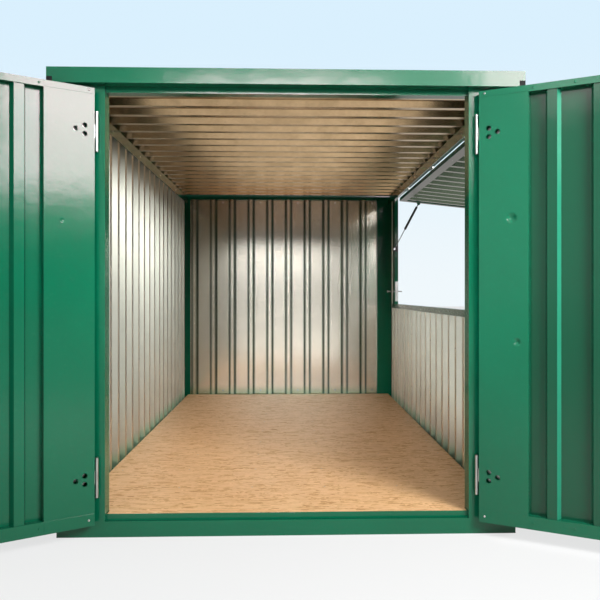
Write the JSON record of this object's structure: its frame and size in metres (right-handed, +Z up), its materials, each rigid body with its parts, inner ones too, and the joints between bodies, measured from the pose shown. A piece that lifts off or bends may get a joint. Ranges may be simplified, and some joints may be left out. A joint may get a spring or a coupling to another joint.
{
  "type": "flat pack kiosk",
  "caption": "Demountable ribbed steel kiosk with outward double doors across the front, a board floor and a top-hung serving hatch on gas struts in one long wall.",
  "frame": {"origin": "centre of the footprint on the ground, at the underside of the middle cross bearer", "axes": "+Z up, the double doors face -Y, the serving hatch faces +X"},
  "size_m": [3.6838, 4.5065, 2.13],
  "materials": {
    "green_paint": "semi-gloss green powder coat",
    "ribbed_sheet": "galvanised inside, green coat outside",
    "zinc_frame": "galvanised",
    "flap_frame": "galvanised inside, green coat outside",
    "zinc_fitting": "bright zinc plate",
    "floor_board": "oriented strand board",
    "black_plastic": "moulded",
    "strut_tube": "satin black",
    "strut_rod": "hard chrome",
    "lock_black": "satin black"
  },
  "bodies": {
    "shell": {"front_base_rail": "green_paint", "back_base_rail": "green_paint", "left_base_rail": "green_paint", "right_base_rail": "green_paint", "floor_bearers": "zinc_frame", "floor_boards": "floor_board", "door_sill": "green_paint", "front_left_post": "green_paint", "front_right_post": "green_paint", "back_left_post": "green_paint", "back_right_post": "green_paint", "left_wall": "ribbed_sheet", "back_wall": "ribbed_sheet", "right_wall_front": "ribbed_sheet", "right_wall_back": "ribbed_sheet", "right_wall_below_hatch": "ribbed_sheet", "hatch_front_jamb": "green_paint", "hatch_back_jamb": "green_paint", "hatch_counter_rail": "green_paint", "hatch_head_rail": "green_paint", "door_head": "green_paint", "front_fascia": "green_paint", "back_fascia": "green_paint", "left_fascia": "green_paint", "right_fascia": "green_paint", "roof_end_plugs": "black_plastic", "side_roof_ledges": "green_paint", "end_roof_ledges": "green_paint", "roof_sheets": "ribbed_sheet", "post_hinge_knuckles": "zinc_fitting", "head_hinge_leaves": "zinc_fitting", "hatch_slide_bolts": "zinc_fitting", "strut_brackets": "zinc_fitting"},
    "left_door": {"left_door_hinge_side": "green_paint", "left_door_rails": "green_paint", "left_door_closing_stile": "green_paint", "left_door_panel": "green_paint", "left_door_knuckles": "zinc_fitting", "left_door_bolts": "zinc_fitting"},
    "right_door": {"right_door_hinge_side": "green_paint", "right_door_rails": "green_paint", "right_door_closing_stile": "green_paint", "right_door_panel": "green_paint", "right_door_knuckles": "zinc_fitting", "right_door_lock": "lock_black"},
    "hatch_flap": {"hatch_flap_panel": "ribbed_sheet", "hatch_flap_side_rails": "flap_frame", "hatch_flap_long_rails": "flap_frame", "hatch_flap_hinges": "zinc_fitting"},
    "front_rod": {"front_strut_rod": "strut_rod"},
    "front_tube": {"front_strut_tube": "strut_tube"},
    "back_rod": {"back_strut_rod": "strut_rod"},
    "back_tube": {"back_strut_tube": "strut_tube"}
  },
  "joints": [
    {"name": "left_door_hinge", "type": "hinge", "parent": "shell", "child": "left_door", "pos_m": [-0.868, -1.995, 1], "axis": [0, 0, 1], "range_deg": [-3, 147]},
    {"name": "right_door_hinge", "type": "hinge", "parent": "shell", "child": "right_door", "pos_m": [0.868, -1.995, 1], "axis": [0, 0, -1], "range_deg": [0, 150]},
    {"name": "hatch_hinge", "type": "hinge", "parent": "shell", "child": "hatch_flap", "pos_m": [1.064, 0, 2.0445], "axis": [0, -1, 0], "range_deg": [-84, 0]},
    {"name": "front_rod_pivot", "type": "hinge", "parent": "shell", "child": "front_rod", "pos_m": [1.014, -1.503, 1.5435], "axis": [0, -1, 0], "range_deg": [0, 28.11]},
    {"name": "front_tube_slide", "type": "slide", "parent": "front_rod", "child": "front_tube", "axis": [0.468, 0, 0.8837], "range_m": [-0.17377, 0]},
    {"name": "back_rod_pivot", "type": "hinge", "parent": "shell", "child": "back_rod", "pos_m": [1.014, 1.503, 1.5435], "axis": [0, -1, 0], "range_deg": [0, 28.11]},
    {"name": "back_tube_slide", "type": "slide", "parent": "back_rod", "child": "back_tube", "axis": [0.468, 0, 0.8837], "range_m": [-0.17377, 0]}
  ],
  "couplings": [
    {"joint": "front_rod_pivot", "follows": "hatch_hinge", "ratio": -0.33222},
    {"joint": "front_tube_slide", "follows": "hatch_hinge", "m_per_rad": 0.11785},
    {"joint": "back_rod_pivot", "follows": "hatch_hinge", "ratio": -0.33222},
    {"joint": "back_tube_slide", "follows": "hatch_hinge", "m_per_rad": 0.11785}
  ]
}
